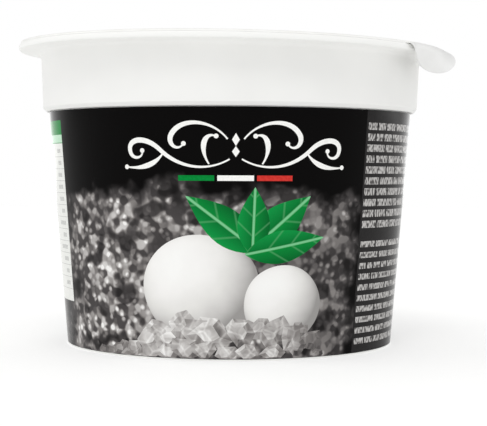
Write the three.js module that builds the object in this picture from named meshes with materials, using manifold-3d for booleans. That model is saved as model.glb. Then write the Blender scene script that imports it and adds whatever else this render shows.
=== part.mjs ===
// A shut dairy cup: a white moulded cup with a stacking collar and a wide sealing flange,
// a printed sleeve let into its tapered wall, and a peel film lid with a pull tab bent down.
// Millimetres, +Z up. The origin is the centre of the flat base, on the cup's axis, and the
// front of the print faces -Y. The cup is full and shut, so it is one solid with its contents.

import * as THREE from "three";
import { mergeVertices } from "three/addons/utils/BufferGeometryUtils.js";
import Module from "manifold-3d";

// Driving dimensions: the wall and the foot
const BASE_RADIUS = 36.6; // the wall's line, carried down to the floor
const WALL_TOP_RADIUS = 40.8; // the same line, under the collar
const FOOT_EDGE = 0.4; // rounding between the base and the wall
const GROOVE_INNER = 26; // shallow ring groove that sets the foot apart from the base's middle
const GROOVE_OUTER = 31;
const GROOVE_DEPTH = 0.6;
const GROOVE_SLOPE = 0.6; // width of each sloping side of the groove

// Driving dimensions: the stacking collar
const COLLAR_BOTTOM = 51.7;
const COLLAR_BOTTOM_RADIUS = 42.15;
const COLLAR_TOP_RADIUS = 42.6;
const COLLAR_EDGE = 1.2; // rounding of the collar's lower edge
const COVE = 1.2; // hollow rounding between the collar and the flange

// Driving dimensions: the flange and the film on it
const FLANGE_RADIUS = 47.5;
const FLANGE_TOP = 65.75;
const FLANGE_THICKNESS = 1.3;
const FLANGE_LOWER_EDGE = 0.7; // rounding of the lip below and above
const FLANGE_UPPER_EDGE = 0.45;
const FILM_RADIUS = 47.15;
const MOUTH_RADIUS = 39.8; // inside edge of the flange, where the film spans free
const FILM_SAG = 1.2; // how far the free film dips in its middle
const FILM_THICKNESS = 0.35;
const FILM_GAP = 0.1; // clear space between the film and the cup
const RIM_LEAN = 0.015; // the rim stands a little higher on -X than on +X

// Driving dimensions: the pull tab, a broad tongue of the film at the right front
const TAB_AZIMUTH = 66.9; // degrees from -Y towards +X
const TAB_HALF_ANGLE = 16.1;
const TAB_LENGTH = 6.45;
const TAB_BLUNTNESS = 0.25; // below 1 the tongue's end is broad
const TAB_BEND = 95.7; // degrees below level at its middle
const TAB_TWIST = -58.5; // added to the bend at its far side, and taken from it at its near side
const TAB_BEND_SPREAD = 0.6; // below 1 the bend reaches out towards the tongue's sides
const TAB_BEND_START = 47.2; // radius from which it bends down
const TAB_BEND_LENGTH = 2.1; // the bend is taken up over this length of film

// Driving dimensions: the sleeve
const LABEL_BOTTOM = 0.5;
const LABEL_TOP = 51.5;
const LABEL_THICKNESS = 0.3;
const LABEL_GAP = 0.05; // clear space between the sleeve and the wall behind it
const SEAM_WIDTH = 0.8; // bare slit where the sleeve's ends face each other, at the back

// Fineness of the faceted surfaces
const SEGMENTS = 90;
const ARC_STEPS = 3;
const FILM_STEP = 6; // degrees between the film's radial lines
const TAB_STEP = 2; // the same across the tab
const EDGE_ROWS = 14; // rows of the film's outer margin, tab and all

const FLANGE_UNDERSIDE = FLANGE_TOP - FLANGE_THICKNESS;
const MARGIN_RADIUS = 45.5; // where the film's finely divided outer margin begins

const wasm = await Module();
wasm.setup();

// Radius of the wall's outer line at a height
function wallRadius(z) {
  return BASE_RADIUS + ((WALL_TOP_RADIUS - BASE_RADIUS) * z) / COLLAR_BOTTOM;
}

// Points of a round stretch in a profile, from one angle to another in degrees
function arc(centreR, centreZ, radius, from, to) {
  const points = [];
  for (let i = 0; i <= ARC_STEPS; i += 1) {
    const angle = THREE.MathUtils.degToRad(from + ((to - from) * i) / ARC_STEPS);
    points.push([centreR + radius * Math.cos(angle), centreZ + radius * Math.sin(angle)]);
  }
  return points;
}

// Solid of revolution about +Z from (radius, height) points; its start faces -Y
function turned(profile) {
  const points = profile.map(([r, z]) => new THREE.Vector2(r, z));
  return new THREE.LatheGeometry(points, SEGMENTS).rotateX(Math.PI / 2);
}

// How far the film dips below the flange's level at a radius
function filmSag(r) {
  return r < MOUTH_RADIUS ? FILM_SAG * (1 - (r / MOUTH_RADIUS) ** 2) : 0;
}

// Above the collar's lower edge the cup leans, so that the flange is not quite level
function rimLean(x, z) {
  return -RIM_LEAN * x * THREE.MathUtils.smoothstep(z, COLLAR_BOTTOM, FLANGE_UNDERSIDE);
}

function leanRim(geometry) {
  const place = geometry.attributes.position;
  for (let i = 0; i < place.count; i += 1) {
    place.setZ(i, place.getZ(i) + rimLean(place.getX(i), place.getZ(i)));
  }
  geometry.computeVertexNormals();
  return geometry;
}

// The cup with its contents: base, foot, wall with the sleeve's recess, collar, flange and mouth
function cupGeometry() {
  const recess = LABEL_THICKNESS + LABEL_GAP;
  const collarCentre = COLLAR_BOTTOM_RADIUS - COLLAR_EDGE;
  const lipLower = FLANGE_RADIUS - FLANGE_LOWER_EDGE;
  const lipUpper = FLANGE_RADIUS - FLANGE_UPPER_EDGE;
  const mouth = [1, 0.75, 0.5, 0.25, 0].map((part) => part * MOUTH_RADIUS);
  return leanRim(turned([
    [0, 0],
    [GROOVE_INNER, 0],
    [GROOVE_INNER + GROOVE_SLOPE, GROOVE_DEPTH],
    [GROOVE_OUTER - GROOVE_SLOPE, GROOVE_DEPTH],
    [GROOVE_OUTER, 0],
    ...arc(wallRadius(FOOT_EDGE) - FOOT_EDGE, FOOT_EDGE, FOOT_EDGE, -90, 0),
    [wallRadius(LABEL_BOTTOM) - recess, LABEL_BOTTOM - LABEL_GAP],
    [wallRadius(COLLAR_BOTTOM) - recess, COLLAR_BOTTOM],
    ...arc(collarCentre, COLLAR_BOTTOM + COLLAR_EDGE, COLLAR_EDGE, -90, 0),
    ...arc(COLLAR_TOP_RADIUS + COVE, FLANGE_UNDERSIDE - COVE, COVE, 180, 90),
    ...arc(lipLower, FLANGE_UNDERSIDE + FLANGE_LOWER_EDGE, FLANGE_LOWER_EDGE, -90, 0),
    ...arc(lipUpper, FLANGE_TOP - FLANGE_UPPER_EDGE, FLANGE_UPPER_EDGE, 0, 90),
    ...mouth.map((r) => [r, FLANGE_TOP - filmSag(r)]),
  ]));
}

// A closed mesh as a solid that can be cut
function solidOf(geometry) {
  const bare = geometry.clone();
  bare.deleteAttribute("normal");
  bare.deleteAttribute("uv");
  const merged = mergeVertices(bare);
  return new wasm.Manifold(new wasm.Mesh({
    numProp: 3,
    vertProperties: new Float32Array(merged.attributes.position.array),
    triVerts: new Uint32Array(merged.index.array),
  }));
}

// A solid back as a mesh geometry
function geometryOf(solid) {
  const mesh = solid.getMesh();
  const geometry = new THREE.BufferGeometry();
  geometry.setAttribute("position", new THREE.BufferAttribute(mesh.vertProperties, 3));
  geometry.setIndex(new THREE.BufferAttribute(mesh.triVerts, 1));
  geometry.computeVertexNormals();
  return geometry;
}

// The printed sleeve: a thin cone shell flush with the wall, slit at the back where its ends meet
function labelGeometry() {
  const inner = (z) => wallRadius(z) - LABEL_THICKNESS;
  const sleeve = turned([
    [inner(LABEL_BOTTOM), LABEL_BOTTOM],
    [wallRadius(LABEL_BOTTOM), LABEL_BOTTOM],
    [wallRadius(LABEL_TOP), LABEL_TOP],
    [inner(LABEL_TOP), LABEL_TOP],
    [inner(LABEL_BOTTOM), LABEL_BOTTOM],
  ]);
  const slit = new THREE.BoxGeometry(SEAM_WIDTH, WALL_TOP_RADIUS, 2 * LABEL_TOP);
  slit.translate(0, WALL_TOP_RADIUS, 0);
  return geometryOf(solidOf(sleeve).subtract(solidOf(slit)));
}

// The tab at an azimuth: how far it reaches past the film's round edge, and how steeply it hangs
function tabAt(azimuth) {
  const across = THREE.MathUtils.clamp((azimuth - TAB_AZIMUTH) / TAB_HALF_ANGLE, -1, 1);
  const bump = (0.5 + 0.5 * Math.cos(Math.PI * across)) ** TAB_BLUNTNESS;
  const bend = (TAB_BEND + TAB_TWIST * across) * bump ** TAB_BEND_SPREAD;
  return { reach: TAB_LENGTH * bump, bend: THREE.MathUtils.degToRad(bend) };
}

// One radial line of the film: (radius, height, slope) from its middle to its outer edge
function filmLine(azimuth) {
  const level = FLANGE_TOP + FILM_GAP + FILM_THICKNESS / 2;
  const line = [0.25, 0.5, 0.75, 1].map((part) => {
    const r = part * MOUTH_RADIUS;
    return { r, z: level - filmSag(r), slope: 0 };
  });
  const { reach, bend } = tabAt(azimuth);
  const step = (FILM_RADIUS + reach - MARGIN_RADIUS) / EDGE_ROWS;
  let point = { r: MARGIN_RADIUS, z: level, slope: 0 };
  line.push(point);
  for (let row = 1; row <= EDGE_ROWS; row += 1) {
    const along = MARGIN_RADIUS + (row - 0.5) * step - TAB_BEND_START;
    const slope = bend * THREE.MathUtils.smoothstep(along, 0, TAB_BEND_LENGTH);
    point = {
      r: point.r + step * Math.cos(slope),
      z: point.z - step * Math.sin(slope),
      slope,
    };
    line.push(point);
  }
  return line;
}

// Azimuths of the film's radial lines, closer together across the tab
function filmAzimuths() {
  const azimuths = [];
  let azimuth = 0;
  while (azimuth < 360) {
    azimuths.push(azimuth);
    const fromTab = Math.abs(azimuth + FILM_STEP / 2 - TAB_AZIMUTH);
    azimuth += fromTab < TAB_HALF_ANGLE + FILM_STEP / 2 ? TAB_STEP : FILM_STEP;
  }
  return azimuths;
}

// The film lid: a thin disc with both faces split alike, sealed on the flange, tongue and all
function lidGeometry() {
  const positions = [];
  const index = [];
  const azimuths = filmAzimuths();
  const lines = azimuths.map(filmLine);
  const rows = lines[0].length;
  const perFace = 1 + azimuths.length * rows;
  for (const face of [1, -1]) {
    const half = (face * FILM_THICKNESS) / 2;
    positions.push(0, 0, FLANGE_TOP + FILM_GAP + FILM_THICKNESS / 2 - FILM_SAG + half);
    azimuths.forEach((azimuth, k) => {
      const turn = THREE.MathUtils.degToRad(azimuth);
      for (const { r, z, slope } of lines[k]) {
        const radius = r + half * Math.sin(slope);
        const x = radius * Math.sin(turn);
        const height = z + half * Math.cos(slope);
        positions.push(x, -radius * Math.cos(turn), height - RIM_LEAN * x);
      }
    });
  }
  const at = (face, k, row) => face * perFace + 1 + (k % azimuths.length) * rows + row;
  for (let k = 0; k < azimuths.length; k += 1) {
    index.push(0, at(0, k, 0), at(0, k + 1, 0));
    index.push(perFace, at(1, k + 1, 0), at(1, k, 0));
    for (let row = 0; row < rows - 1; row += 1) {
      const top = [at(0, k, row), at(0, k, row + 1), at(0, k + 1, row + 1), at(0, k + 1, row)];
      const under = [at(1, k, row), at(1, k, row + 1), at(1, k + 1, row + 1), at(1, k + 1, row)];
      index.push(top[0], top[1], top[2], top[0], top[2], top[3]);
      index.push(under[0], under[2], under[1], under[0], under[3], under[2]);
    }
    const last = rows - 1;
    index.push(at(0, k, last), at(1, k, last), at(1, k + 1, last));
    index.push(at(0, k, last), at(1, k + 1, last), at(0, k + 1, last));
  }
  const geometry = new THREE.BufferGeometry();
  geometry.setAttribute("position", new THREE.Float32BufferAttribute(positions, 3));
  geometry.setIndex(index);
  geometry.computeVertexNormals();
  return geometry;
}

function piece(name, geometry, color, roughness) {
  const material = new THREE.MeshStandardMaterial({ color, roughness, metalness: 0 });
  const mesh = new THREE.Mesh(geometry, material);
  mesh.name = name;
  return mesh;
}

const pack = new THREE.Group();
pack.add(
  piece("cup", cupGeometry(), 0xf1f1ee, 0.4),
  piece("label", labelGeometry(), 0x2b2c2e, 0.35),
  piece("lid", lidGeometry(), 0xf6f6f4, 0.35),
);

export default pack;
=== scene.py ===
import math
import random

import bpy
from mathutils import Euler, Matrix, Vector
from mathutils.geometry import delaunay_2d_cdt


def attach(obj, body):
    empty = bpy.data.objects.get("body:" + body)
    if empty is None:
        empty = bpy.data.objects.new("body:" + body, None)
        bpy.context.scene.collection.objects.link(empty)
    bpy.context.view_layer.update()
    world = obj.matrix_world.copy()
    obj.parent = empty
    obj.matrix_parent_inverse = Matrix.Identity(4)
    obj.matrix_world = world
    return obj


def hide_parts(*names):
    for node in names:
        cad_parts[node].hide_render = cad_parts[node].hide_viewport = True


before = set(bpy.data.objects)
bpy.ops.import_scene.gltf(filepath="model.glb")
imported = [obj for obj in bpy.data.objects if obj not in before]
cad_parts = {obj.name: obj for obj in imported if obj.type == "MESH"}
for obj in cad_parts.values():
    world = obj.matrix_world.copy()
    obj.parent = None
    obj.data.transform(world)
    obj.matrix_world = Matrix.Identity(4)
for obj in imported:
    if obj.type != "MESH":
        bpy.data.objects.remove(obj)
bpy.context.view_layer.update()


# The cup: one injection-moulded piece of white polypropylene, with a flat base, a tapered wall,
# a stacking collar and a wide flange. The label is let into its wall and the film is sealed on top.
MM = 0.001
BASE_RADIUS = 36.6  # the wall's line, carried down to the floor
WALL_TOP_RADIUS = 40.8  # the same line, under the collar
FOOT_EDGE = 0.4
GROOVE_INNER = 26
GROOVE_OUTER = 31
GROOVE_DEPTH = 0.6
GROOVE_SLOPE = 0.6
COLLAR_BOTTOM = 51.7
COLLAR_BOTTOM_RADIUS = 42.15
COLLAR_TOP_RADIUS = 42.6
COLLAR_CHAMFER = 0.8
COLLAR_EDGE = 0.35  # rounding of the chamfer's two corners
CHAMFER_END = COLLAR_CHAMFER + COLLAR_EDGE * math.tan(math.pi / 8)  # where the roundings end
COVE = 1.2
FLANGE_RADIUS = 47.5
FLANGE_TOP = 65.75
FLANGE_UNDERSIDE = 64.45
LIP_LOWER_EDGE = 0.5
LIP_UPPER_EDGE = 0.45
MOUTH_RADIUS = 39.8  # inside edge of the flange, where the film spans free
FILM_SAG = 1.2
RIM_LEAN = 0.015  # the rim stands higher on the left than on the right
LABEL_BOTTOM = 0.5
LABEL_TOP = 51.5
LABEL_THICKNESS = 0.3
LABEL_GAP = 0.05
LABEL_RECESS = LABEL_THICKNESS + LABEL_GAP
ARC_STEPS = 6


def wall_radius(z):
    """Radius of the wall's outer line at a height."""
    return BASE_RADIUS + (WALL_TOP_RADIUS - BASE_RADIUS) * z / COLLAR_BOTTOM


def film_sag(radius):
    """How far the free film, and what lies under it, dips below the flange."""
    return FILM_SAG * max(0.0, 1 - (radius / MOUTH_RADIUS) ** 2)


def arc(centre_r, centre_z, radius, start, end):
    """Round stretch of a profile, from one angle to another in degrees."""
    turns = [math.radians(start + (end - start) * k / ARC_STEPS) for k in range(ARC_STEPS + 1)]
    return [(centre_r + radius * math.cos(t), centre_z + radius * math.sin(t)) for t in turns]


mouth_radii = [MOUTH_RADIUS * k / 4 for k in (4, 3, 2, 1, 0)]
cup_profile = [
    (0, 0),
    (GROOVE_INNER, 0),
    (GROOVE_INNER + GROOVE_SLOPE, GROOVE_DEPTH),
    (GROOVE_OUTER - GROOVE_SLOPE, GROOVE_DEPTH),
    (GROOVE_OUTER, 0),
    *arc(wall_radius(FOOT_EDGE) - FOOT_EDGE, FOOT_EDGE, FOOT_EDGE, -90, 0),
    (wall_radius(LABEL_BOTTOM) - LABEL_RECESS, LABEL_BOTTOM - LABEL_GAP),
    (wall_radius(COLLAR_BOTTOM) - LABEL_RECESS, COLLAR_BOTTOM),
    *arc(COLLAR_BOTTOM_RADIUS - CHAMFER_END, COLLAR_BOTTOM + COLLAR_EDGE, COLLAR_EDGE, -90, -45),
    *arc(COLLAR_BOTTOM_RADIUS - COLLAR_EDGE, COLLAR_BOTTOM + CHAMFER_END, COLLAR_EDGE, -45, 0),
    *arc(COLLAR_TOP_RADIUS + COVE, FLANGE_UNDERSIDE - COVE, COVE, 180, 90),
    *arc(FLANGE_RADIUS - LIP_LOWER_EDGE, FLANGE_UNDERSIDE + LIP_LOWER_EDGE, LIP_LOWER_EDGE, -90, 0),
    *arc(FLANGE_RADIUS - LIP_UPPER_EDGE, FLANGE_TOP - LIP_UPPER_EDGE, LIP_UPPER_EDGE, 0, 90),
    *[(radius, FLANGE_TOP - film_sag(radius)) for radius in mouth_radii],
]

TURN_STEPS = 240  # straight facets round the cup
SHARP_ANGLE = 40  # degrees; faces that meet at more keep a sharp edge


def smoothstep(value, low, high):
    """Rises from 0 to 1 between two values, level at both ends."""
    part = min(max((value - low) / (high - low), 0.0), 1.0)
    return part * part * (3 - 2 * part)


def mesh_from(name, points, faces):
    """Mesh from points in millimetres, smooth except at its sharp edges."""
    mesh = bpy.data.meshes.new(name)
    mesh.from_pydata([Vector(p) * MM for p in points], [], faces)
    mesh.shade_smooth()
    mesh.set_sharp_from_angle(angle=math.radians(SHARP_ANGLE))
    return mesh


def turned(name, profile):
    """Solid of revolution from (radius, height) points that start and end on the axis."""
    points = [(0, 0, profile[0][1])]
    for radius, z in profile[1:-1]:
        for step in range(TURN_STEPS):
            turn = 2 * math.pi * step / TURN_STEPS
            x = radius * math.sin(turn)
            lean = RIM_LEAN * x * smoothstep(z, COLLAR_BOTTOM, FLANGE_UNDERSIDE)
            points.append((x, -radius * math.cos(turn), z - lean))
    points.append((0, 0, profile[-1][1]))
    rings = len(profile) - 2
    faces = []
    for step in range(TURN_STEPS):
        here, there = 1 + step, 1 + (step + 1) % TURN_STEPS
        faces.append((0, there, here))
        for ring in range(rings - 1):
            low, high = ring * TURN_STEPS, (ring + 1) * TURN_STEPS
            faces.append((low + here, low + there, high + there, high + here))
        top = (rings - 1) * TURN_STEPS
        faces.append((top + here, top + there, len(points) - 1))
    return mesh_from(name, points, faces)


cup_mesh = turned("moulded_cup", cup_profile)

# White polypropylene, moulded against a fine-grained tool: an even satin white, faintly cloudy,
# with a very fine grain that softens its highlights. The flange is painted whiter: painted light for the
# bright rim.
CUP_WHITE = "#f0f0ee"
CUP_CLOUD = "#ededeb"
FLANGE_PAINTED_LIGHT = "#f4f4f2"
CUP_CLOUD_SIZE = 14  # mm
CUP_GRAIN_SIZE = 0.6  # mm, drawn coarser than the real grain so that it shows
CUP_GRAIN_DEPTH = 0.02  # mm
CUP_GRAIN_STRENGTH = 0.1
CUP_SMOOTHEST, CUP_ROUGHEST = 0.46, 0.56
CUP_SHEEN = 0.12
CLOUD_FROM, CLOUD_TO = 0.35, 0.65  # the part of the noise over which a white changes to its cloud
PAINTED_LIGHT_FROM, PAINTED_LIGHT_TO = FLANGE_UNDERSIDE - 0.1, FLANGE_UNDERSIDE + 0.2


def linear(colour):
    """An sRGB hex colour as the linear RGBA that shaders use."""
    parts = [int(colour[k:k + 2], 16) / 255 for k in (1, 3, 5)]
    return [c / 12.92 if c <= 0.04045 else ((c + 0.055) / 1.055) ** 2.4 for c in parts] + [1.0]


def add(tree, kind, values=None, links=None, stops=None, **settings):
    """Adds a shader node: its settings, the values of its sockets and the outputs that feed them.

    A node that stands for an output means its first one. A ramp's stops are (place, hex colour).
    """
    made = tree.nodes.new("ShaderNode" + kind)
    for name, value in settings.items():
        setattr(made, name, value)
    for socket, value in (values or {}).items():
        made.inputs[socket].default_value = value
    for socket, source in (links or {}).items():
        tree.links.new(getattr(source, "outputs", [source])[0], made.inputs[socket])
    if stops:
        band = made.color_ramp.elements
        while len(band) < len(stops):
            band.new(1.0)
        for element, (place, colour) in zip(band, stops):
            element.position = place
            element.color = linear(colour)
    return made


def new_material(name):
    """An empty material and its node tree."""
    made = bpy.data.materials.new(name)
    made.use_nodes = True
    made.node_tree.nodes.clear()
    return made, made.node_tree


def show(name, mesh, materials, node):
    """Puts a piece in the scene in place of its CAD node."""
    piece = bpy.data.objects.new(name, mesh)
    bpy.context.scene.collection.objects.link(piece)
    for made in materials:
        mesh.materials.append(made)
    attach(piece, "root")
    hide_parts(node)


polypropylene, tree = new_material("white polypropylene")
place = add(tree, "TexCoord").outputs["Object"]
cloud = add(tree, "TexNoise", {"Scale": 1 / (CUP_CLOUD_SIZE * MM), "Detail": 2}, {"Vector": place})
grain = add(tree, "TexNoise", {"Scale": 1 / (CUP_GRAIN_SIZE * MM), "Detail": 3}, {"Vector": place})
depth = {"Strength": CUP_GRAIN_STRENGTH, "Distance": CUP_GRAIN_DEPTH * MM}
relief = add(tree, "Bump", depth, {"Height": grain})
gloss = add(tree, "MapRange", {"To Min": CUP_SMOOTHEST, "To Max": CUP_ROUGHEST}, {"Value": grain})
axes = add(tree, "SeparateXYZ", links={"Vector": place}).outputs
# Painted light: from just under the flange upward, the white turns to the flange's whiter colour
level = add(tree, "Math", {1: RIM_LEAN}, {0: axes["X"], 2: axes["Z"]}, operation="MULTIPLY_ADD")
flange = add(tree, "MapRange", {"From Min": PAINTED_LIGHT_FROM * MM, "From Max": PAINTED_LIGHT_TO * MM}, {"Value": level})
whites = add(tree, "ValToRGB", links={"Fac": cloud}, stops=[(CLOUD_FROM, CUP_CLOUD), (CLOUD_TO, CUP_WHITE)])
whites = add(tree, "Mix", {"B": linear(FLANGE_PAINTED_LIGHT)}, {"Factor": flange, "A": whites}, data_type="RGBA")
shader = add(
    tree,
    "BsdfPrincipled",
    {"IOR": 1.49, "Specular IOR Level": CUP_SHEEN},
    {"Base Color": whites.outputs["Result"], "Roughness": gloss, "Normal": relief},
)
add(tree, "OutputMaterial", links={"Surface": shader})
show("moulded_cup", cup_mesh, [polypropylene], "cup")


# The label: one strip of printed film laid in the mould, so that it is flush with the tapered wall
# and its two ends face each other at the back. The print is flat inks under a smooth lacquer.
LABEL_MEAN_RADIUS = 38.7  # distances across the print are arcs at this radius, 0 at the front
LABEL_FACET = 1.5  # degrees between the strip's straight facets
SEAM_HALF_ANGLE = 0.59
LABEL_HALF_WIDTH = math.radians(180 - SEAM_HALF_ANGLE) * LABEL_MEAN_RADIUS
shapes = []


def lay(ink, outline, local=None):
    """Prints an outline in an ink over what is there; its shading may read a local frame."""
    shapes.append((ink, [Vector(p) for p in outline], local))


def box(left, right, low, high):
    """Corners of an upright rectangle."""
    return [(left, low), (right, low), (right, high), (left, high)]


# The ground in narrow upright panels, which follow the wall's curve
facets = int((180 - SEAM_HALF_ANGLE) / LABEL_FACET)
ground_edges = [math.radians(k * LABEL_FACET) * LABEL_MEAN_RADIUS for k in range(-facets, facets + 1)]
ground_edges = [-LABEL_HALF_WIDTH, *ground_edges, LABEL_HALF_WIDTH]
for left, right in zip(ground_edges, ground_edges[1:]):
    lay("ice", box(left, right, LABEL_BOTTOM, LABEL_TOP))

# The panel at the left: white with a green heading, ruled, with plain bars for its lines
PANEL_LEFT, PANEL_RIGHT = -79, -42.8
PANEL_LOW, PANEL_HIGH = 10.3, 49.4
PANEL_MARGIN = 1.5
PANEL_FOOT = 1  # least space under the last line
PANEL_PITCH = 2.6
HEADING_LOW, SUBHEADING_LOW = 46.3, 44.6
RULE = 0.15
RULE_DROP = 0.5  # how far a rule lies below its line's foot
BAR_LOW, BAR_HIGH = 0.4, 1.3
WORDS_REACH = (9, 18)  # from the panel's left edge
FIGURE_REACH = (3.5, 6.5)  # from its right edge
draw = random.Random(7)
lay("panel white", box(PANEL_LEFT, PANEL_RIGHT, PANEL_LOW, PANEL_HIGH))
lay("green", box(PANEL_LEFT, PANEL_RIGHT, HEADING_LOW, PANEL_HIGH))
lay("pale green", box(PANEL_LEFT, PANEL_RIGHT, SUBHEADING_LOW, HEADING_LOW))
lay("green", box(PANEL_LEFT, PANEL_RIGHT, SUBHEADING_LOW - RULE, SUBHEADING_LOW))
line = SUBHEADING_LOW - PANEL_PITCH
while line > PANEL_LOW + PANEL_FOOT:
    lay("panel grey", box(PANEL_LEFT, PANEL_RIGHT, line - RULE_DROP, line - RULE_DROP + RULE))
    words_end = PANEL_LEFT + draw.uniform(*WORDS_REACH)
    lay("panel grey", box(PANEL_LEFT + PANEL_MARGIN, words_end, line + BAR_LOW, line + BAR_HIGH))
    figure_start = PANEL_RIGHT - draw.uniform(*FIGURE_REACH)
    lay("panel grey", box(figure_start, PANEL_RIGHT - PANEL_MARGIN, line + BAR_LOW, line + BAR_HIGH))
    line -= PANEL_PITCH

# The small print at the right, on a charcoal strip that is painted sheen, a reflection on the black ground:
# two blocks of lines, each line a row of plain bars
SHEEN_STRIP_LEFT, SHEEN_STRIP_RIGHT = 30.4, 76
TEXT_LEFT, TEXT_RIGHT = 31, 75
TEXT_BLOCKS = ((48.1, 1.5), (23.4, 1.25))  # height of a block's first line, and of its letters
TEXT_ROWS = 10
TEXT_PITCH = 2.28
WORD_LENGTH = (2, 8)
WORD_GAP = 0.55
lay("charcoal painted sheen", box(SHEEN_STRIP_LEFT, SHEEN_STRIP_RIGHT, LABEL_BOTTOM, LABEL_TOP))
for first_line, letters in TEXT_BLOCKS:
    for row in range(TEXT_ROWS):
        line = first_line - row * TEXT_PITCH
        left = TEXT_LEFT
        while left < TEXT_RIGHT:
            right = min(left + draw.uniform(*WORD_LENGTH), TEXT_RIGHT)
            lay("small print", box(left, right, line - letters / 2, line + letters / 2))
            left = right + WORD_GAP

# The scroll ornament under the collar, drawn with a broad pen: its strokes swell in their middle
SCROLL_CENTRE = (1.5, 43.6)
SCROLL_STROKES = [
    [(1.2, -2.6), (5.5, -5.2), (11, -4.6), (15.2, -0.6), (18.2, 2.2), (22.4, 1.6), (21.6, -1.2),
     (21.1, -2.9), (18.6, -2.5), (18.9, -0.9)],
    [(1.6, 1.4), (4.6, 5.4), (10.6, 5.8), (12.6, 2.4), (13.7, 0.5), (11.4, -1.4), (10.2, 0.5)],
    [(5.2, -3.6), (7.2, -0.6), (6.2, 3), (3.8, 2)],
    [(14.4, -1.4), (15.8, -3.4), (18.4, -4.8), (22.6, -4.2)],
]
STROKE_STEPS = 26  # short panels in each curve of a stroke
PEN_THIN, PEN_BROAD = 0.32, 1.05
DOT_RADIUS = 0.48
DOT_STEPS = 16
DROP_HEIGHTS = (2.6, -2.2)  # of the two drops in the scroll's middle, up and down
DROP_HALF_WIDTH = 0.75


def bezier(points):
    """Points along a chain of cubic curves that share their ends."""
    made = []
    for start in range(0, len(points) - 1, 3):
        a, b, c, d = (Vector(p) for p in points[start:start + 4])
        for k in range(STROKE_STEPS):
            t = k / STROKE_STEPS
            made.append(a * (1 - t) ** 3 + 3 * b * t * (1 - t) ** 2 + 3 * c * t * t * (1 - t) + d * t ** 3)
    made.append(Vector(points[-1]))
    return made


def pen_stroke(curve):
    """Lays a stroke as a row of short panels, thin at its ends and broad in its middle."""
    sides = []
    for k, point in enumerate(curve):
        along = curve[min(k + 1, len(curve) - 1)] - curve[max(k - 1, 0)]
        normal = Vector((-along.y, along.x)).normalized()
        swell = math.sin(math.pi * k / (len(curve) - 1)) ** 2
        half = 0.5 * (PEN_THIN + (PEN_BROAD - PEN_THIN) * swell)
        sides.append((point + normal * half, point - normal * half))
    for (a, b), (c, d) in zip(sides, sides[1:]):
        lay("white", [b, d, c, a])


def oval(centre, radius_x, radius_y, steps):
    """Points round an oval."""
    turns = [2 * math.pi * k / steps for k in range(steps)]
    return [(centre[0] + radius_x * math.cos(t), centre[1] + radius_y * math.sin(t)) for t in turns]


for mirror in (1, -1):
    for stroke in SCROLL_STROKES:
        curve = [Vector((SCROLL_CENTRE[0] + mirror * p.x, SCROLL_CENTRE[1] + p.y)) for p in bezier(stroke)]
        pen_stroke(curve)
        lay("white", oval(curve[-1], DOT_RADIUS, DOT_RADIUS, DOT_STEPS))
for height in DROP_HEIGHTS:
    drop = [(0, 0), (DROP_HALF_WIDTH, 0.5 * height), (0, height), (-DROP_HALF_WIDTH, 0.5 * height)]
    lay("white", [(SCROLL_CENTRE[0] + x, SCROLL_CENTRE[1] + y) for x, y in drop])

# Three slim dashes under the scroll, in green, white and red
DASH_LEVEL = 37.2
DASH_THICKNESS = 1.1
DASH_LENGTH = 7.2
DASH_PITCH = 7.8
dash_low, dash_high = DASH_LEVEL - DASH_THICKNESS / 2, DASH_LEVEL + DASH_THICKNESS / 2
for k, ink in enumerate(("green", "white", "red")):
    centre = SCROLL_CENTRE[0] + (k - 1) * DASH_PITCH
    lay(ink, box(centre - DASH_LENGTH / 2, centre + DASH_LENGTH / 2, dash_low, dash_high))

# Two rounds of fresh cheese with basil between them
ROUND_STEPS = 72
ROUND_WAVE, ROUND_RIPPLE = 0.007, 0.005  # how uneven a round's outline is, in parts of its radius
LEAF_STEPS = 14
LEAF_BELLY = 0.85  # below 1 a leaf is broadest nearer to its base


def cheese_round(centre, radius_x, radius_y):
    """Lays a round of cheese, a little uneven in outline; its shading reads its own round frame."""
    outline = []
    for x, y in oval((0, 0), 1, 1, ROUND_STEPS):
        turn = math.atan2(y, x)
        uneven = ROUND_WAVE * (math.sin(3 * turn + radius_x) - 1)
        uneven += ROUND_RIPPLE * (math.sin(5 * turn + radius_y) - 1)
        outline.append((centre[0] + radius_x * (1 + uneven) * x, centre[1] + radius_y * (1 + uneven) * y))
    lay("cheese", outline, (Vector(centre), Vector((radius_x, 0)), Vector((0, radius_y))))


def leaf(base, tip, half_width):
    """Lays a pointed oval leaf; its shading reads (along, across) from its base to its tip."""
    base, tip = Vector(base), Vector(tip)
    along = tip - base
    across = Vector((-along.y, along.x)).normalized() * half_width
    parts = [k / LEAF_STEPS for k in range(LEAF_STEPS + 1)]
    upper = [(part, math.sin(math.pi * part ** LEAF_BELLY)) for part in parts]
    lower = [(part, -width) for part, width in reversed(upper[1:-1])]
    lay("basil", [base + along * t + across * w for t, w in upper + lower], (base, along, across))


cheese_round((-5.8, 14.8), 12.6, 11.2)
leaf((6.5, 22.2), (-8.5, 33.6), 3.7)
leaf((4, 22.2), (17, 33.6), 3.9)
leaf((5, 21.5), (5.4, 35.4), 3.3)
leaf((3.4, 21.8), (20.5, 25.2), 3.3)
cheese_round((11.8, 11.6), 8.6, 8.1)

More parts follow.
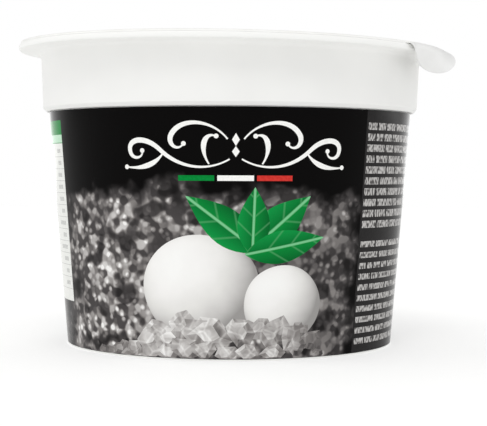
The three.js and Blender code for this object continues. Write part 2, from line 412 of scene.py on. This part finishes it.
# A heap of ice lumps in front of the cheese, angular and lit from the upper left
HEAP_ROWS = (  # a row's height, the size of its lumps, and where it begins and ends
    (7.2, 3.4, -17, 19),
    (4.6, 3.6, -24, 21),
    (2.2, 3.2, -31, 23),
)
HEAP_TAPER = 0.45  # how much lower and finer the heap is at its ends
TAPER_FROM, TAPER_TO = 10, 26
ROW_START = (0, 2)
ROW_UNEVEN = 0.9
LUMP_SIZES = (0.75, 1.25)  # in parts of the row's size
LUMP_SPACING = (1.1, 1.9)  # likewise
LUMP_SIDES = 6
LUMP_REACH = (0.8, 1.2)
LUMP_JITTER = 0.3
LUMP_SQUASH = 0.8
CROWN_SIZE = 0.5  # of a lump's front face
CROWN_SHIFT = Vector((-0.08, 0.1))
OUTER_FOOT, CROWN_FOOT = LABEL_BOTTOM + 0.1, LABEL_BOTTOM + 0.2
LUMP_LIGHT = Vector((-0.5, 0.85))
SIDE_TONE, SIDE_LIT, SIDE_UNEVEN = 0.6, 0.13, 0.12
CROWN_TONES = (0.6, 0.85)
FACE_FADE = 26  # mm over which a face's tone goes from black to white


def ice_face(outline, tone):
    """Lays one flat face of a lump; its shading reads (-, tone), which drifts across the face."""
    middle = sum((Vector(p) for p in outline), Vector((0, 0))) / len(outline)
    turn = draw.uniform(0, 2 * math.pi)
    fade = FACE_FADE * Vector((math.cos(turn), math.sin(turn)))
    lay("ice lump", outline, (middle - fade * tone, fade.orthogonal(), fade))


def ice_lump(centre, size):
    """Lays a lump of ice: sloping sides and a front face."""
    centre = Vector(centre)
    outer, crown = [], []
    for k in range(LUMP_SIDES):
        turn = 2 * math.pi * (k + draw.uniform(-LUMP_JITTER, LUMP_JITTER)) / LUMP_SIDES
        reach = size * draw.uniform(*LUMP_REACH) * Vector((math.cos(turn), LUMP_SQUASH * math.sin(turn)))
        inner = centre + CROWN_SIZE * reach + size * CROWN_SHIFT
        outer.append(Vector((centre.x + reach.x, max(centre.y + reach.y, OUTER_FOOT))))
        crown.append(Vector((inner.x, max(inner.y, CROWN_FOOT))))
    for k in range(LUMP_SIDES):
        beside = (k + 1) % LUMP_SIDES
        facing = (outer[k] + outer[beside]) / 2 - centre
        lit = facing.normalized().dot(LUMP_LIGHT)
        tone = SIDE_TONE + SIDE_LIT * lit + draw.uniform(-SIDE_UNEVEN, SIDE_UNEVEN)
        ice_face([outer[k], outer[beside], crown[beside], crown[k]], tone)
    ice_face(crown, draw.uniform(*CROWN_TONES))


for row_height, size, row_left, row_right in HEAP_ROWS:
    across = row_left + draw.uniform(*ROW_START)
    while across < row_right:
        taper = 1 - HEAP_TAPER * smoothstep(abs(across), TAPER_FROM, TAPER_TO)
        height = taper * row_height + draw.uniform(-ROW_UNEVEN, ROW_UNEVEN)
        ice_lump((across, height), taper * size * draw.uniform(*LUMP_SIZES))
        across += taper * size * draw.uniform(*LUMP_SPACING)

# The strip's mesh: the flat print cut into triangles, each of its uppermost ink, and laid on the wall
CUT_TOLERANCE = 1e-4
EDGE_TOLERANCE = 1e-3
CUT_INSIDE = 1  # the kind of cut that keeps what lies inside the outlines


def label_point(across, up, depth=0.0):
    """Where a point of the flat print lies on the wall."""
    turn = across / LABEL_MEAN_RADIUS
    radius = wall_radius(up) - depth
    return (radius * math.sin(turn), -radius * math.cos(turn), up)


flat_points, flat_faces = [], []
for ink, outline, local in shapes:
    area = sum(a.x * b.y - a.y * b.x for a, b in zip(outline, outline[1:] + outline[:1]))
    corners = list(range(len(flat_points), len(flat_points) + len(outline)))
    flat_faces.append(corners if area > 0 else corners[::-1])
    flat_points.extend(outline)
cut = delaunay_2d_cdt(flat_points, [], flat_faces, CUT_INSIDE, CUT_TOLERANCE)
flat, _, triangles, _, _, owners = cut
uppermost = [shapes[max(owner)] for owner in owners]
points = [label_point(p.x, p.y) for p in flat]
faces = [tuple(t) for t in triangles]
inside = {}
for k, p in enumerate(flat):
    if min(p.y - LABEL_BOTTOM, LABEL_TOP - p.y) < EDGE_TOLERANCE:
        inside[k] = len(points)
        points.append(label_point(p.x, p.y, LABEL_THICKNESS))
low_edge = sorted((k for k in inside if flat[k].y < LABEL_TOP / 2), key=lambda k: flat[k].x)
high_edge = sorted((k for k in inside if flat[k].y > LABEL_TOP / 2), key=lambda k: flat[k].x)
for a, b, c, d in zip(low_edge, low_edge[1:], high_edge, high_edge[1:]):
    faces.append((inside[b], inside[a], inside[c], inside[d]))
    faces.append((b, a, inside[a], inside[b]))
    faces.append((c, d, inside[d], inside[c]))
first_low, first_high, last_low, last_high = low_edge[0], high_edge[0], low_edge[-1], high_edge[-1]
faces.append((first_low, first_high, inside[first_high], inside[first_low]))
faces.append((last_high, last_low, inside[last_low], inside[last_high]))
label_mesh = mesh_from("printed_label", points, faces)

# Printed film: flat inks sealed under a thin smooth lacquer, nearly without sheen from the front.
# Its patterns read two places on the label: on the flat print, in mm, and inside a motif.
LACQUER = {"Roughness": 0.12, "IOR": 1.5, "Specular IOR Level": 0.03}
FLAT_NOISE = {"noise_dimensions": "2D"}
FLAT_CELLS = {"voronoi_dimensions": "2D"}


def new_ink(name):
    """An empty ink: the material, its tree and the two places that its pattern reads."""
    made, tree = new_material(name)
    sheet = add(tree, "Attribute", attribute_name="label_mm").outputs["Vector"]
    motif = add(tree, "Attribute", attribute_name="motif").outputs["Vector"]
    return made, tree, sheet, motif


def print_in(tree, colour):
    """Ends an ink: its colour, under the lacquer."""
    shader = add(tree, "BsdfPrincipled", LACQUER, {"Base Color": colour})
    add(tree, "OutputMaterial", links={"Surface": shader})


# Crushed ice in greys under a black sky: soft round grains and sparks out of focus, in clumps with gaps
CLUMP, GRAIN, SPARK, GLEAM, HOLLOW = 8.5, 1.4, 1.7, 2.7, 5.5  # mm
CLUMP_NOISE = {"From Min": 0.33, "From Max": 0.67}
CLUMP_TONES = {"To Min": 0.37, "To Max": 0.5}
GRAIN_TONES = {"From Min": 0.25, "From Max": 0.75, "To Min": 0.5, "To Max": 1.5}
SPOTS = (  # size, blurred edge and core of a spot, how rare it is and how bright
    (SPARK, 0.46, 0.1, 0.42, 0.45),
    (GLEAM, 0.36, 0.12, 0.45, 0.25),
)
HOLLOW_SHIFT = (61, 17, 0)  # mm, so that the hollows don't follow the clumps
SKY_LOW, SKY_HIGH = 31.0, 36.5
SKY_RAGGED, SIDE_RAGGED = 5.0, 4.0  # mm by which clumps shift the ice's upper edge and its sides
ICE_GREYS = [(0, "#080707"), (0.25, "#4a4747"), (0.5, "#85817f"), (0.75, "#bfbcba"), (1, "#eeedeb")]
ice, tree, sheet, _ = new_ink("crushed ice print")
axes = add(tree, "SeparateXYZ", links={"Vector": sheet}).outputs
clump = add(tree, "TexNoise", {"Scale": 1 / CLUMP, "Detail": 2}, {"Vector": sheet}, **FLAT_NOISE)
clump = add(tree, "MapRange", CLUMP_NOISE, {"Value": clump})
grain_size = {"Scale": 1 / GRAIN, "Smoothness": 1.0}
grain = add(tree, "TexVoronoi", grain_size, {"Vector": sheet}, feature="SMOOTH_F1", **FLAT_CELLS)
grain = add(tree, "SeparateXYZ", links={"Vector": grain.outputs["Color"]}).outputs["X"]
grain = add(tree, "MapRange", GRAIN_TONES, {"Value": grain})
tone = add(tree, "MapRange", CLUMP_TONES, {"Value": clump})
tone = add(tree, "Math", links={0: tone, 1: grain}, operation="MULTIPLY")
for size, spot_edge, spot_core, rare, bright in SPOTS:
    cells = add(tree, "TexVoronoi", {"Scale": 1 / size}, {"Vector": sheet}, **FLAT_CELLS)
    chance = add(tree, "SeparateXYZ", links={"Vector": cells.outputs["Color"]}).outputs["X"]
    chosen = add(tree, "MapRange", {"From Min": rare, "To Max": bright}, {"Value": chance})
    blur = {"From Min": spot_edge, "From Max": spot_core}
    spot = add(tree, "MapRange", blur, {"Value": cells}, interpolation_type="SMOOTHSTEP")
    spot = add(tree, "Math", links={0: spot, 1: chosen}, operation="MULTIPLY")
    tone = add(tree, "Math", links={0: tone, 1: spot}, operation="ADD")
away = add(tree, "VectorMath", {1: HOLLOW_SHIFT}, {0: sheet}, operation="ADD")
hollow = add(tree, "TexNoise", {"Scale": 1 / HOLLOW, "Detail": 1}, {"Vector": away}, **FLAT_NOISE)
sky = add(tree, "Math", {1: SKY_RAGGED}, {0: clump, 2: axes["Y"]}, operation="MULTIPLY_ADD")
side = add(tree, "Math", {1: SIDE_RAGGED}, {0: clump, 2: axes["X"]}, operation="MULTIPLY_ADD")
for reads, start, end, start_tone, end_tone, curve in (
    (hollow, 0.33, 0.46, 0.35, 1, "SMOOTHSTEP"),  # gaps between the clumps
    (sky, SKY_HIGH + SKY_RAGGED / 2, SKY_LOW + SKY_RAGGED / 2, 0, 1, "SMOOTHSTEP"),  # the black sky
    (axes["X"], -24, 24, 1.1, 0.66, "LINEAR"),  # light from the left
    (side, -42, -35, 0.3, 1, "SMOOTHSTEP"),  # dim from the panel on
    (side, 33, 28, 0, 1, "SMOOTHSTEP"),  # none at the small print
    (side, -106, -92, 0, 1, "SMOOTHSTEP"),  # none at the seam
):
    span = {"From Min": start, "From Max": end, "To Min": start_tone, "To Max": end_tone}
    fade = add(tree, "MapRange", span, {"Value": reads}, interpolation_type=curve)
    tone = add(tree, "Math", links={0: tone, 1: fade}, operation="MULTIPLY")
print_in(tree, add(tree, "ValToRGB", links={"Fac": tone}, stops=ICE_GREYS))

# Lumps of ice near the foot: pale and clear, with flat faces, cloudy inside and faintly cracked
CRACK, CLOUD = 3.4, 2.6  # mm
CLOUD_TONES = {"From Min": 0.3, "From Max": 0.7, "To Min": -0.1, "To Max": 0.14}
CRACK_TONES = {"From Min": 0.1, "From Max": 0.0, "To Max": 0.12}
HEAP_MIDDLE = -4.0
HEAP_DIMS = {"From Min": 14, "From Max": 30, "To Min": 1.0, "To Max": 0.4}  # away from its middle
lump_ink, tree, sheet, motif = new_ink("ice lump print")
tone = add(tree, "SeparateXYZ", links={"Vector": motif}).outputs["Y"]
cloud_size = {"Scale": 1 / CLOUD, "Detail": 3, "Distortion": 0.6}
cloud = add(tree, "TexNoise", cloud_size, {"Vector": sheet}, **FLAT_NOISE)
cloud = add(tree, "MapRange", CLOUD_TONES, {"Value": cloud})
crack_size = {"Scale": 1 / CRACK}
crack = add(tree, "TexVoronoi", crack_size, {"Vector": sheet}, feature="DISTANCE_TO_EDGE", **FLAT_CELLS)
crack = add(tree, "MapRange", CRACK_TONES, {"Value": crack})
for part in (cloud, crack):
    tone = add(tree, "Math", links={0: tone, 1: part}, operation="ADD")
aside = add(tree, "SeparateXYZ", links={"Vector": sheet}).outputs["X"]
aside = add(tree, "Math", {1: -HEAP_MIDDLE}, {0: aside}, operation="ADD")
aside = add(tree, "Math", links={0: aside}, operation="ABSOLUTE")
aside = add(tree, "MapRange", HEAP_DIMS, {"Value": aside})
tone = add(tree, "Math", links={0: tone, 1: aside}, operation="MULTIPLY")
print_in(tree, add(tree, "ValToRGB", links={"Fac": tone}, stops=ICE_GREYS))

# Cheese in the print: soft white rounds, lit from the upper left and grey in the shade
DENT = 5.0  # mm
DENT_TONES = {"From Min": 0.3, "From Max": 0.7, "To Min": -0.04, "To Max": 0.03}
LIGHT_ACROSS, LIGHT_AHEAD = (-0.42, 0.48, 0), 0.77
CHEESE_WHITES = [(0, "#989694"), (0.3, "#c2c0be"), (0.6, "#e0dfdc"), (0.85, "#efeeec"), (1, "#f4f4f2")]
cheese_ink, tree, sheet, motif = new_ink("fresh cheese print")
square = add(tree, "VectorMath", links={0: motif, 1: motif}, operation="DOT_PRODUCT").outputs["Value"]
bulge = add(tree, "Math", {0: 1.0}, {1: square}, operation="SUBTRACT", use_clamp=True)
bulge = add(tree, "Math", links={0: bulge}, operation="SQRT")
lit = add(tree, "VectorMath", {1: LIGHT_ACROSS}, {0: motif}, operation="DOT_PRODUCT").outputs["Value"]
lit = add(tree, "Math", {1: LIGHT_AHEAD}, {0: bulge, 2: lit}, operation="MULTIPLY_ADD")
dents = add(tree, "TexNoise", {"Scale": 1 / DENT, "Detail": 2}, {"Vector": sheet}, **FLAT_NOISE)
dents = add(tree, "MapRange", DENT_TONES, {"Value": dents})
lit = add(tree, "Math", links={0: lit, 1: dents}, operation="ADD")
print_in(tree, add(tree, "ValToRGB", links={"Fac": lit}, stops=CHEESE_WHITES))

# Basil in the print: a strong green, one half of each leaf in shade, with pale ribs
RIB_SLANT = -0.22
RIB_PITCH = 0.14  # in parts of the leaf's length
RIB_TONES = {"From Min": 0.025, "From Max": 0.0, "To Max": 0.3}
MIDRIB_TONES = {"From Min": 0.1, "From Max": 0.04}
RIB_GREEN = "#79c38d"
LEAF_GREENS = [(0, "#075f29"), (0.47, "#0a8438"), (0.53, "#077030"), (1, "#129244")]
basil_ink, tree, _, motif = new_ink("basil print")
axes = add(tree, "SeparateXYZ", links={"Vector": motif}).outputs
aside = add(tree, "Math", links={0: axes["Y"]}, operation="ABSOLUTE")
rib = add(tree, "Math", {1: RIB_SLANT}, {0: aside, 2: axes["X"]}, operation="MULTIPLY_ADD")
rib = add(tree, "Math", {1: RIB_PITCH}, {0: rib}, operation="PINGPONG")
rib = add(tree, "MapRange", RIB_TONES, {"Value": rib})
midrib = add(tree, "MapRange", MIDRIB_TONES, {"Value": aside})
rib = add(tree, "Math", links={0: rib, 1: midrib}, operation="MAXIMUM")
halves = add(tree, "MapRange", {"From Min": -1.0}, {"Value": axes["Y"]})
greens = add(tree, "ValToRGB", links={"Fac": halves}, stops=LEAF_GREENS)
ribbed = add(tree, "Mix", {"B": linear(RIB_GREEN)}, {"Factor": rib, "A": greens}, data_type="RGBA")
print_in(tree, ribbed.outputs["Result"])

# Small print: pale grey strokes, too fine to read
STROKE, ROW = 0.42, 0.9  # mm
TEXT_GREYS = [(0.34, "#565453"), (0.56, "#bcbab8")]
text_ink, tree, sheet, _ = new_ink("small print ink")
strokes = add(tree, "VectorMath", {1: (1 / STROKE, 1 / ROW, 0)}, {0: sheet}, operation="MULTIPLY")
strokes = add(tree, "TexNoise", {"Scale": 1.0, "Detail": 0}, {"Vector": strokes}, **FLAT_NOISE)
print_in(tree, add(tree, "ValToRGB", links={"Fac": strokes}, stops=TEXT_GREYS))

# Plain inks, which print a little unevenly, in two tones
MOTTLE, FINE_MOTTLE = 0.6, 0.35  # mm
MOTTLE_FROM, MOTTLE_TO = 0.4, 0.6
inks = {"ice": ice, "ice lump": lump_ink}
for name, colour, second_colour, size in (
    ("white", "#f6f6f3", "#f0f0ed", MOTTLE),
    ("green", "#06873a", "#058034", MOTTLE),
    ("pale green", "#bfe0c6", "#b6dabe", MOTTLE),
    ("red", "#cf3a33", "#c6332d", MOTTLE),
    ("panel white", "#e8e9e5", "#e3e4e0", MOTTLE),
    ("panel grey", "#d0d1ce", "#b9bab7", FINE_MOTTLE),
    # painted sheen: the charcoal strip stands in for a reflection on the right of the label
    ("charcoal painted sheen", "#2b2a2a", "#282727", MOTTLE),
):
    inks[name], tree, sheet, _ = new_ink(name + " ink")
    mottle = add(tree, "TexNoise", {"Scale": 1 / size, "Detail": 1}, {"Vector": sheet}, **FLAT_NOISE)
    tones = [(MOTTLE_FROM, second_colour), (MOTTLE_TO, colour)]
    print_in(tree, add(tree, "ValToRGB", links={"Fac": mottle}, stops=tones))
inks.update({"small print": text_ink, "cheese": cheese_ink, "basil": basil_ink})

# The label's faces get their inks, the places that the inks read, and a map for baking: the front
# of the print in its upper half, the back in its lower half, the strip's inside in a band at its foot
HALF_TURN = math.pi * LABEL_MEAN_RADIUS
FRONT_LOW, BACK_LOW, BAND_HEIGHT, INSIDE_HEIGHT = 0.52, 0.03, 0.47, 0.01
ink_order = list(inks)
sheet_points = list(flat) + [flat[k] for k in inside]
sheet_place = label_mesh.attributes.new("label_mm", "FLOAT_VECTOR", "POINT")
sheet_place.data.foreach_set("vector", [c for p in sheet_points for c in (p.x, p.y, 0)])
label_mesh.attributes.new("motif", "FLOAT_VECTOR", "CORNER")
label_mesh.uv_layers.new(name="OFBake")
motif_place = label_mesh.attributes["motif"].data
bake_place = label_mesh.uv_layers["OFBake"].data
for polygon in label_mesh.polygons:
    printed = polygon.index < len(uppermost)
    ink, _, local = uppermost[polygon.index] if printed else ("ice", None, None)
    polygon.material_index = ink_order.index(ink)
    middle = sum(sheet_points[v].x for v in polygon.vertices) / len(polygon.vertices)
    for corner in polygon.loop_indices:
        p = sheet_points[label_mesh.loops[corner].vertex_index]
        if local:
            start, along, across = local
            offset = p - start
            part_along = offset.dot(along) / along.length_squared
            part_across = offset.dot(across) / across.length_squared
            motif_place[corner].vector = (part_along, part_across, 0)
        turn = p.x / HALF_TURN
        up = (p.y - LABEL_BOTTOM) / (LABEL_TOP - LABEL_BOTTOM)
        if not printed:
            bake_place[corner].uv = (0.5 + 0.5 * turn, INSIDE_HEIGHT * up)
        elif abs(middle) < HALF_TURN / 2:
            bake_place[corner].uv = (0.5 + turn, FRONT_LOW + BAND_HEIGHT * up)
        else:
            bake_place[corner].uv = (turn % 2 - 0.5, BACK_LOW + BAND_HEIGHT * up)
show("printed_label", label_mesh, list(inks.values()), "label")


# The lid: white peel film, heat sealed on the flange in a ribbed ring and cut with a pull tab.
# The tab hangs over the rim at the right front, bent down and twisted, and the free film dips a little.
FILM_RADIUS = 47.15
FILM_THICKNESS = 0.35
FILM_GAP = 0.1
FILM_LEVEL = FLANGE_TOP + FILM_GAP + FILM_THICKNESS / 2  # of the film's middle surface
FREE_ROWS = 16
PUCKERS = 34
PUCKER_HEIGHT = 0.22
PUCKER_START, PUCKER_FULL, PUCKER_END = 22, 36, 37  # radii between which they rise and die away
PUCKER_DRIFT, PUCKER_DRIFTS = 1.7, 3  # how far the puckers shift sideways, and how often round the lid
SEAL_INNER, SEAL_OUTER = 41, 45.4
SEAL_RIBS = 4
SEAL_DEPTH = 0.14
RIB_STEPS = 4
SEAL_CLOSING = 0.9  # share of the gap that the film's underside closes
MARGIN_RADIUS = 45.5
MARGIN_ROWS = 24
TAB_AZIMUTH = 66.9
TAB_HALF_ANGLE = 16.1
TAB_LENGTH = 6.45
TAB_BLUNTNESS = 0.25  # below 1 the tab's end is broad
TAB_BEND = 95.7  # degrees below level at its middle
TAB_TWIST = -58.5  # added to the bend at its far side, and taken from it at its near side
TAB_BEND_SPREAD = 0.6  # below 1 the bend reaches out towards the tab's sides
TAB_BEND_START = 47.2
TAB_BEND_LENGTH = 2.1
FREE_SLOPE = 0.2  # radians, from which the bent film is clear of the flange
FILM_STEP, TAB_STEP = 1.5, 0.5  # degrees between the film's radial lines, and across the tab
EDGE_ROUNDING = 0.12


def tab_at(azimuth):
    """How far the tab reaches past the film's round edge at an azimuth, and how steeply it hangs."""
    beside = min(max((azimuth - TAB_AZIMUTH) / TAB_HALF_ANGLE, -1), 1)
    bump = (0.5 + 0.5 * math.cos(math.pi * beside)) ** TAB_BLUNTNESS
    return TAB_LENGTH * bump, math.radians((TAB_BEND + TAB_TWIST * beside) * bump ** TAB_BEND_SPREAD)


def film_line(azimuth):
    """One radial line of the film's middle surface: (radius, height, slope) out to its edge."""
    line = []
    drift = PUCKER_DRIFT * math.sin(math.radians(PUCKER_DRIFTS * azimuth))
    wave = 0.5 + 0.5 * math.sin(math.radians(PUCKERS * azimuth) + drift)
    for k in range(1, FREE_ROWS + 1):
        radius = MOUTH_RADIUS * k / FREE_ROWS
        rise = smoothstep(radius, PUCKER_START, PUCKER_FULL)
        pucker = PUCKER_HEIGHT * rise * (1 - smoothstep(radius, PUCKER_END, MOUTH_RADIUS))
        line.append((radius, FILM_LEVEL - film_sag(radius) + pucker * wave, 0.0))
    for k in range(RIB_STEPS * SEAL_RIBS + 1):
        radius = SEAL_INNER + (SEAL_OUTER - SEAL_INNER) * k / (RIB_STEPS * SEAL_RIBS)
        rib = 0.5 - 0.5 * math.cos(2 * math.pi * k / RIB_STEPS)
        line.append((radius, FILM_LEVEL - SEAL_DEPTH * rib, 0.0))
    reach, bend = tab_at(azimuth)
    step = (FILM_RADIUS + reach - MARGIN_RADIUS) / MARGIN_ROWS
    radius, height = MARGIN_RADIUS, FILM_LEVEL
    for row in range(MARGIN_ROWS):
        slope = bend * smoothstep(MARGIN_RADIUS + (row + 0.5) * step - TAB_BEND_START, 0, TAB_BEND_LENGTH)
        radius += step * math.cos(slope)
        height -= step * math.sin(slope)
        line.append((radius, height, slope))
    return line


azimuths = [0.0]
while azimuths[-1] < 360 - FILM_STEP:
    on_tab = abs(azimuths[-1] + FILM_STEP / 2 - TAB_AZIMUTH) < TAB_HALF_ANGLE + FILM_STEP / 2
    azimuths.append(azimuths[-1] + (TAB_STEP if on_tab else FILM_STEP))
film_lines = [film_line(a) for a in azimuths]
rows = len(film_lines[0])
points = []
for half, seal in ((FILM_THICKNESS / 2, 0.0), (-FILM_THICKNESS / 2, SEAL_CLOSING * FILM_GAP)):
    points.append((0, 0, FILM_LEVEL - FILM_SAG + half - seal))
    for azimuth, line in zip(azimuths, film_lines):
        turn = math.radians(azimuth)
        for row, (radius, height, slope) in enumerate(line):
            radius += half * math.sin(slope)
            height += half * math.cos(slope)
            if slope == 0:
                height -= seal
            if half > 0 and row == rows - 1:
                radius -= EDGE_ROUNDING * math.cos(slope)
                height += EDGE_ROUNDING * math.sin(slope)
            x = radius * math.sin(turn)
            points.append((x, -radius * math.cos(turn), height - RIM_LEAN * x))

# Its faces, each with the finish that the film has there
SEALED, MARGIN, FREE = 0, 1, 2
margin_row = FREE_ROWS + RIB_STEPS * SEAL_RIBS  # where the sealed ring ends
under = 1 + len(azimuths) * rows
faces, finishes = [], []
for k, line in enumerate(film_lines):
    here, there = 1 + k * rows, 1 + (k + 1) % len(azimuths) * rows
    faces += [(0, here, there), (under, under + there, under + here)]
    finishes += [SEALED, SEALED]
    for row, (_, _, slope) in enumerate(line):
        finish = SEALED if row < margin_row else MARGIN
        if slope > FREE_SLOPE:
            finish = FREE
        if row < rows - 1:
            top = (here + row, here + row + 1, there + row + 1, there + row)
            faces += [top, tuple(under + v for v in reversed(top))]
            finishes += [finish, finish]
        else:
            faces.append((here + row, under + here + row, under + there + row, there + row))
            finishes.append(finish)
film_mesh = mesh_from("peel_film", points, faces)
for polygon in film_mesh.polygons:
    polygon.material_index = finishes[polygon.index]

# White peel film, calendered: a satin white with a fine ripple. Its unsealed margin is painted a little
# lighter, as painted light on the rim's bright edge; where it hangs free it is painted greyer, as painted
# shade on the tab.
FILM_RIPPLE = 5  # mm
FILM_RIPPLE_DEPTH = 0.1  # mm
FILM_RIPPLE_STRENGTH = 0.15
film_materials = []
for name, white, shade, sheen in (
    ("white peel film", "#eeeeec", "#ebebe8", 0.12),
    # painted light: the margin's whites are lighter than the sealed film's
    ("white peel film margin painted light", "#f6f6f4", "#f2f2ef", 0.06),
    # painted shade: the hanging tab's whites are greyer than the sealed film's
    ("white peel film hanging free painted shade", "#ececeb", "#e9e9e8", 0.06),
):
    film, tree = new_material(name)
    place = add(tree, "TexCoord").outputs["Object"]
    ripple = add(tree, "TexNoise", {"Scale": 1 / (FILM_RIPPLE * MM), "Detail": 2}, {"Vector": place})
    depth = {"Strength": FILM_RIPPLE_STRENGTH, "Distance": FILM_RIPPLE_DEPTH * MM}
    relief = add(tree, "Bump", depth, {"Height": ripple})
    whites = add(tree, "ValToRGB", links={"Fac": ripple}, stops=[(CLOUD_FROM, shade), (CLOUD_TO, white)])
    satin = {"IOR": 1.5, "Roughness": 0.3, "Specular IOR Level": sheen}
    shader = add(tree, "BsdfPrincipled", satin, {"Base Color": whites, "Normal": relief})
    add(tree, "OutputMaterial", links={"Surface": shader})
    film_materials.append(film)
show("peel_film", film_mesh, film_materials, "lid")


# The studio: a white acrylic table lit from below, an even white surround, and two wide soft lights,
# overhead and in front. Shiny surfaces see a bright backdrop, low behind the cup, and a bright strip
# at the right. The camera stands in front of the print, below the rim.
FLOOR_SIZE = 2.4  # m

# White acrylic, cast and frosted: an even matt white that glows, all but free of clouds
FLOOR_CLOUD_SIZE = 16.7  # mm
FLOOR_WHITES = [(0.3, "#bcbcbb"), (0.7, "#bebebd")]
FLOOR_GLOW = {"Emission Color": (1, 1, 1, 1), "Emission Strength": 0.5}
acrylic, tree = new_material("lit white acrylic")
place = add(tree, "TexCoord").outputs["Object"]
cloud = add(tree, "TexNoise", {"Scale": 1 / (FLOOR_CLOUD_SIZE * MM), "Detail": 2}, {"Vector": place})
whites = add(tree, "ValToRGB", links={"Fac": cloud}, stops=FLOOR_WHITES)
frosted = {"Roughness": 0.9, "Specular IOR Level": 0.2, **FLOOR_GLOW}
shader = add(tree, "BsdfPrincipled", frosted, {"Base Color": whites})
add(tree, "OutputMaterial", links={"Surface": shader})
half = FLOOR_SIZE / 2
floor_corners = [(x, y, 0) for x, y in box(-half, half, -half, half)]
floor_mesh = bpy.data.meshes.new("studio_floor")
floor_mesh.from_pydata(floor_corners, [], [(0, 1, 2, 3)])
floor_mesh.materials.append(acrylic)
floor = bpy.data.objects.new("studio_floor", floor_mesh)
bpy.context.scene.collection.objects.link(floor)

# The surround: soft light on the cup, what shiny surfaces see, and plain white behind the cup
SURROUND_LIGHT, LEFT_LIGHT, SIDE_LIGHT = 0.79, 0.1, 0.21  # all round, more at the left, more at both sides
ROOM_SHINE, BACKDROP_SHINE, STRIP_SHINE = 0.3, 1.7, 3.2
BACKDROP_EDGE, BACKDROP_MIDDLE = 0.3, 0.9  # how far backward a direction points
BACKDROP_FADE = 2.5  # how fast the backdrop dims upward
STRIP_RIGHT = {"From Min": 0.7, "From Max": 0.97, "To Max": STRIP_SHINE}
STRIP_BEHIND = {"From Min": 0.2, "From Max": 0.3}
world = bpy.data.worlds.new("white surround")
world.use_nodes = True
tree = world.node_tree
tree.nodes.clear()
direction = add(tree, "TexCoord").outputs["Generated"]
toward = add(tree, "SeparateXYZ", links={"Vector": direction}).outputs
soft = add(tree, "Math", {1: SIDE_LIGHT, 2: -LEFT_LIGHT}, {0: toward["X"]}, operation="MULTIPLY_ADD")
soft = add(tree, "Math", {2: SURROUND_LIGHT}, {0: soft, 1: toward["X"]}, operation="MULTIPLY_ADD")
backward = add(tree, "Math", {1: -BACKDROP_FADE}, {0: toward["Z"], 2: toward["Y"]}, operation="MULTIPLY_ADD")
shines = {"To Min": ROOM_SHINE, "To Max": BACKDROP_SHINE}
span = {"From Min": BACKDROP_EDGE, "From Max": BACKDROP_MIDDLE, **shines}
shine = add(tree, "MapRange", span, {"Value": backward})
strip = add(tree, "MapRange", STRIP_RIGHT, {"Value": toward["X"]})
behind = add(tree, "MapRange", STRIP_BEHIND, {"Value": toward["Y"]})
shine = add(tree, "Math", links={0: strip, 1: behind, 2: shine}, operation="MULTIPLY_ADD")
rays = add(tree, "LightPath").outputs
strength = add(tree, "Mix", links={"Factor": rays["Is Glossy Ray"], "A": soft, "B": shine})
strength = add(tree, "Mix", {"B": 1.0}, {"Factor": rays["Is Camera Ray"], "A": strength})
backdrop = add(tree, "Background", {"Color": (1, 1, 1, 1)}, {"Strength": strength})
add(tree, "OutputWorld", links={"Surface": backdrop})
bpy.context.scene.world = world

# The two lights: where each comes from, its strength and how many degrees wide it is
for name, light_from, energy, spread in (
    ("upper_front_light", (-0.1, -0.58, 0.8), 0.54, 20),
    ("overhead_light", (0, 0, 1), 0.3, 60),
):
    soft_light = bpy.data.lights.new(name, "SUN")
    soft_light.energy = energy
    soft_light.angle = math.radians(spread)
    lamp = bpy.data.objects.new(name, soft_light)
    lamp.location = light_from
    lamp.rotation_euler = (-Vector(light_from)).to_track_quat("-Z", "Y").to_euler()
    bpy.context.scene.collection.objects.link(lamp)

# The camera: its place in mm, tipped down and rolled a little, with a long lens
VIEW_DISTANCE = 320.0
VIEW_HEIGHT = 38.41
VIEW_ASIDE = 3.13
VIEW_PITCH = 0.0291  # radians
VIEW_ROLL = 0.0045
FOCAL_PIXELS = 1402.9
FRAME_WIDTH = 487
camera_data = bpy.data.cameras.new("camera")
camera_data.sensor_width = 36
camera_data.lens = FOCAL_PIXELS * camera_data.sensor_width / FRAME_WIDTH
camera_data.clip_start = 0.01
camera = bpy.data.objects.new("camera", camera_data)
camera.location = Vector((VIEW_ASIDE, -VIEW_DISTANCE, VIEW_HEIGHT)) * MM
tilt = Euler((math.pi / 2 - VIEW_PITCH, 0, 0)).to_matrix()
roll = Euler((0, 0, VIEW_ROLL)).to_matrix()
camera.rotation_euler = (tilt @ roll).to_euler()
bpy.context.scene.collection.objects.link(camera)
bpy.context.scene.camera = camera
bpy.context.scene.view_settings.view_transform = "Standard"
